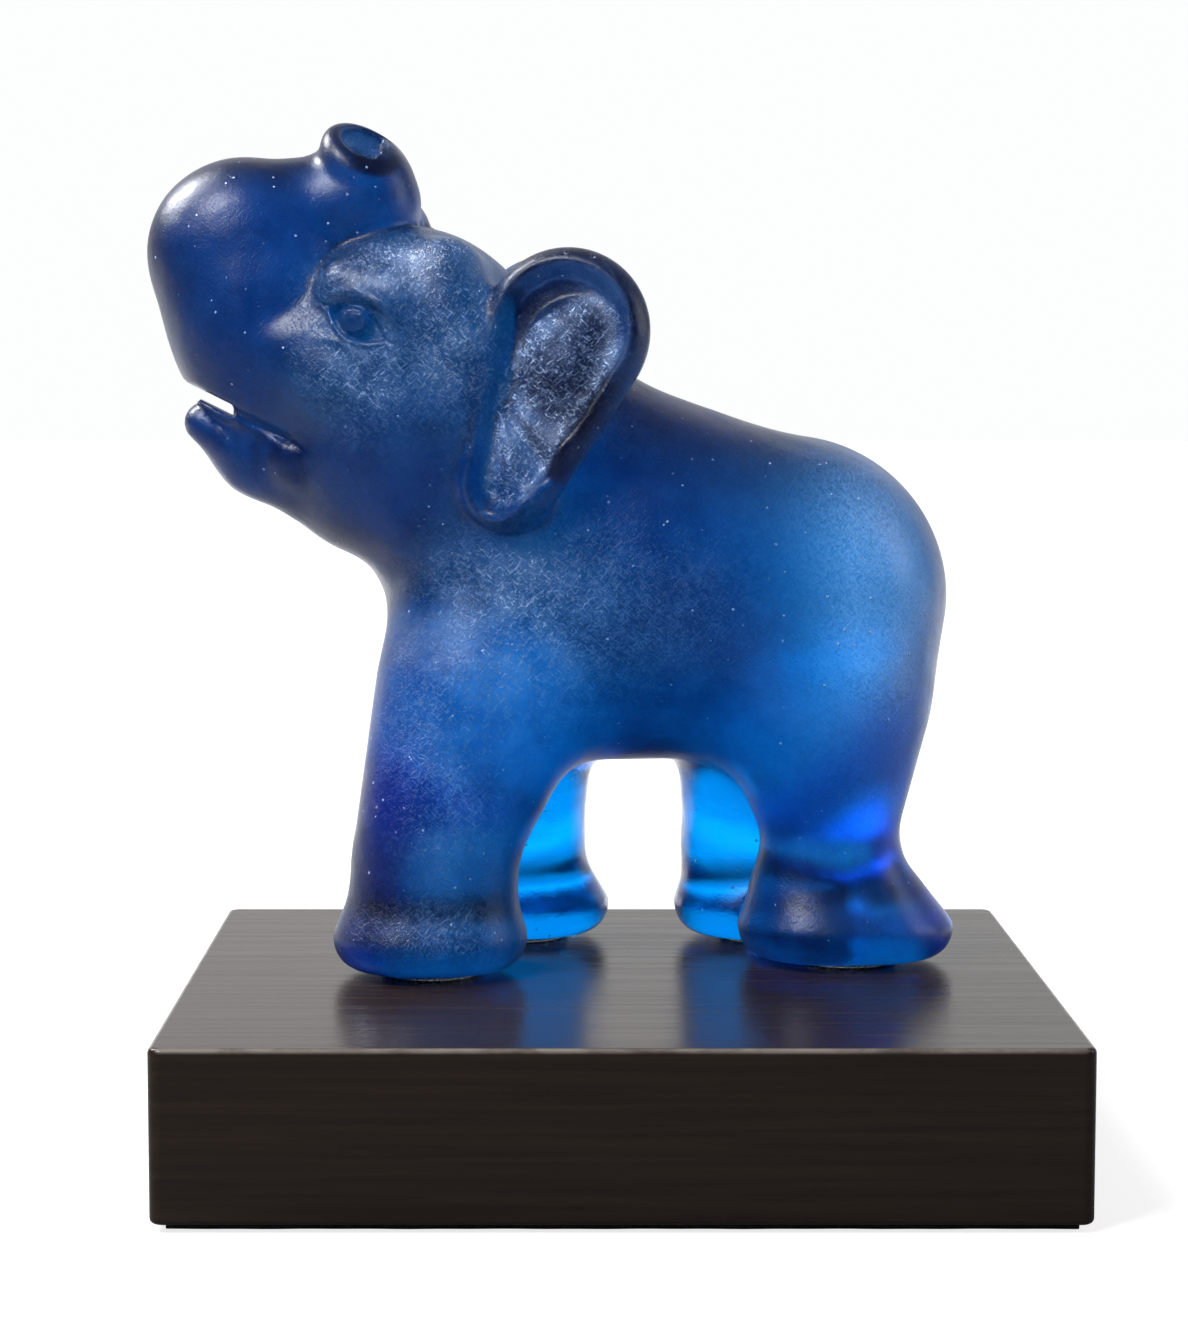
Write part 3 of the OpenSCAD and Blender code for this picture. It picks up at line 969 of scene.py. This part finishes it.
class FIGURINE_OT_felt(bpy.types.Operator):
    """Models the felt under the plinth: a cut sheet with a slightly wandering, fluffed edge"""

    bl_idname = "figurine.make_felt"
    bl_label = "Felt"

    def execute(self, context):
        size = size_of("felt")
        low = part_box("felt")[0]
        start_clean()
        bpy.ops.mesh.primitive_grid_add(
            x_subdivisions=60, y_subdivisions=50, size=1, location=middle_of("felt")
        )
        piece = newly_added("felt_sheet")
        piece.scale = (size.x, size.y, 1)
        settle_origin(piece)
        centre = middle_of("felt")
        for vertex in piece.data.vertices:
            co = vertex.co
            on_x = abs(abs(co.x - centre.x) - size.x / 2) < 0.01 * MM
            on_y = abs(abs(co.y - centre.y) - size.y / 2) < 0.01 * MM
            wander = 0.18 * MM * (1 + math.sin(co.x * 310 + co.y * 270) * math.cos(co.x * 130 - co.y * 190))
            co.x -= math.copysign(wander if on_x else 0, co.x - centre.x)
            co.y -= math.copysign(wander if on_y else 0, co.y - centre.y)
            co.z = low.z
        take_up(piece)
        bpy.ops.object.mode_set(mode="EDIT")
        bpy.ops.mesh.select_all(action="SELECT")
        bpy.ops.mesh.extrude_region_move(TRANSFORM_OT_translate={"value": (0, 0, size.z)})
        bpy.ops.mesh.select_all(action="SELECT")
        bpy.ops.mesh.normals_make_consistent(inside=False)
        bpy.ops.object.mode_set(mode="OBJECT")
        sharp = math.radians(50)
        apply_modifier(piece, "BEVEL", width=0.3 * MM, segments=2, limit_method="ANGLE", angle_limit=sharp)
        take_up(piece)
        bpy.ops.object.shade_smooth_by_angle(angle=sharp)
        finish_piece(piece, "felt", felt_material())
        return {"FINISHED"}


class FIGURINE_OT_studio(bpy.types.Operator):
    """Makes the plain floor, the soft lights and the camera"""

    bl_idname = "figurine.make_studio"
    bl_label = "Studio"

    def execute(self, context):
        look = context.scene.studio_look
        start_clean()
        bpy.ops.mesh.primitive_circle_add(vertices=96, radius=6.0, fill_type="NGON", location=(0, 0, -0.0002))
        floor = newly_added("paper_floor")
        settle_origin(floor)
        floor.data.materials.append(paper_material(look))
        self.world(look)
        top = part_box("plinth")[1].z
        self.light("key", (-0.85, 0.40, 0.95), (-0.05, 0.0, 0.18), (0.36, 0.45), look.key)
        self.light("side", (1.0, 0.0, 0.50), (0.03, 0.02, 0.12), (0.35, 0.7), look.side)
        self.light("top", (-0.50, -0.50, 0.95), (0.0, 0.0, 0.12), (0.4, 0.3), look.top)
        data = bpy.data.cameras.new("studio_camera")
        camera = bpy.data.objects.new("studio_camera", data)
        bpy.context.collection.objects.link(camera)
        camera.location = (-12.76 * MM, -741.7 * MM, top + 145.5 * MM)
        camera.rotation_euler = Euler((math.radians(90 - 5.56), 0, 0))
        data.sensor_width = 36
        data.lens = 86.6
        data.shift_x = 0.0246
        data.clip_start, data.clip_end = 0.01, 50
        bpy.context.scene.camera = camera
        bpy.context.scene.view_settings.view_transform = "Standard"
        return {"FINISHED"}

    def light(self, name, place, aim, size, power):
        start_clean()
        bpy.ops.object.light_add(type="AREA", location=place)
        lamp = bpy.context.object
        lamp.name = name
        lamp.rotation_mode = "QUATERNION"
        lamp.rotation_quaternion = (Vector(aim) - Vector(place)).to_track_quat("-Z", "Y")
        lamp.data.shape = "RECTANGLE"
        lamp.data.size, lamp.data.size_y = size
        lamp.data.energy = power
        return lamp

    def world(self, look):
        """A white sweep behind and a dim room in front; the camera itself sees white all round."""
        world = bpy.data.worlds.new("studio")
        bpy.context.scene.world = world
        world.use_nodes = True
        tree = world.node_tree
        tree.nodes.clear()
        out = tree.nodes.new("ShaderNodeOutputWorld")
        shade = tree.nodes.new("ShaderNodeBackground")
        seen = tree.nodes.new("ShaderNodeBackground")
        seen.inputs["Color"].default_value = (0.98, 0.99, 0.99, 1)
        place = tree.nodes.new("ShaderNodeTexCoord")
        parts = tree.nodes.new("ShaderNodeSeparateXYZ")
        tree.links.new(place.outputs["Generated"], parts.inputs["Vector"])
        sweep = tree.nodes.new("ShaderNodeMapRange")
        sweep.interpolation_type = "SMOOTHSTEP"
        sweep.inputs["From Min"].default_value = 0.35
        sweep.inputs["From Max"].default_value = 0.85
        tree.links.new(parts.outputs["Y"], sweep.inputs["Value"])
        roof = tree.nodes.new("ShaderNodeMapRange")
        roof.interpolation_type = "SMOOTHSTEP"
        roof.inputs["From Min"].default_value = 0.45
        roof.inputs["From Max"].default_value = 0.95
        roof.inputs["To Max"].default_value = look.roof
        tree.links.new(parts.outputs["Z"], roof.inputs["Value"])
        most = tree.nodes.new("ShaderNodeMath")
        most.operation = "MAXIMUM"
        tree.links.new(sweep.outputs["Result"], most.inputs[0])
        tree.links.new(roof.outputs["Result"], most.inputs[1])
        room = tree.nodes.new("ShaderNodeMix")
        room.data_type = "RGBA"
        room.inputs[6].default_value = (look.room, look.room, look.room, 1)
        room.inputs[7].default_value = (1, 1, 1, 1)
        tree.links.new(most.outputs[0], room.inputs[0])
        tree.links.new(room.outputs[2], shade.inputs["Color"])
        path = tree.nodes.new("ShaderNodeLightPath")
        mix = tree.nodes.new("ShaderNodeMixShader")
        tree.links.new(path.outputs["Is Camera Ray"], mix.inputs[0])
        tree.links.new(shade.outputs[0], mix.inputs[1])
        tree.links.new(seen.outputs[0], mix.inputs[2])
        tree.links.new(mix.outputs[0], out.inputs["Surface"])


class FIGURINE_PT_panel(bpy.types.Panel):
    """Lists the pieces of the figurine"""

    bl_idname = "FIGURINE_PT_panel"
    bl_label = "Glass Elephant"
    bl_space_type = "VIEW_3D"
    bl_region_type = "UI"
    bl_category = "Elephant"

    def draw(self, context):
        layout = self.layout
        for maker in MAKERS:
            layout.operator(maker.bl_idname)


MAKERS = (
    FIGURINE_OT_studio,
    FIGURINE_OT_plinth,
    FIGURINE_OT_felt,
    FIGURINE_OT_pads,
    FIGURINE_OT_elephant,
)
GROUPS = {
    "elephant_sizes": ElephantSizes,
    "glass_look": GlassLook,
    "plinth_look": PlinthLook,
    "studio_look": StudioLook,
}


def register():
    for name, group in GROUPS.items():
        bpy.utils.register_class(group)
        setattr(bpy.types.Scene, name, PointerProperty(type=group))
    for maker in MAKERS:
        bpy.utils.register_class(maker)
    bpy.utils.register_class(FIGURINE_PT_panel)


def unregister():
    bpy.utils.unregister_class(FIGURINE_PT_panel)
    for maker in reversed(MAKERS):
        bpy.utils.unregister_class(maker)
    for name, group in GROUPS.items():
        delattr(bpy.types.Scene, name)
        bpy.utils.unregister_class(group)


def main():
    """Makes the studio and every piece."""
    register()
    start_clean()
    bpy.ops.figurine.make_studio()
    bpy.ops.figurine.make_plinth()
    bpy.ops.figurine.make_felt()
    bpy.ops.figurine.make_pads()
    bpy.ops.figurine.make_elephant()
    start_clean()


if __name__ == "__main__":
    main()
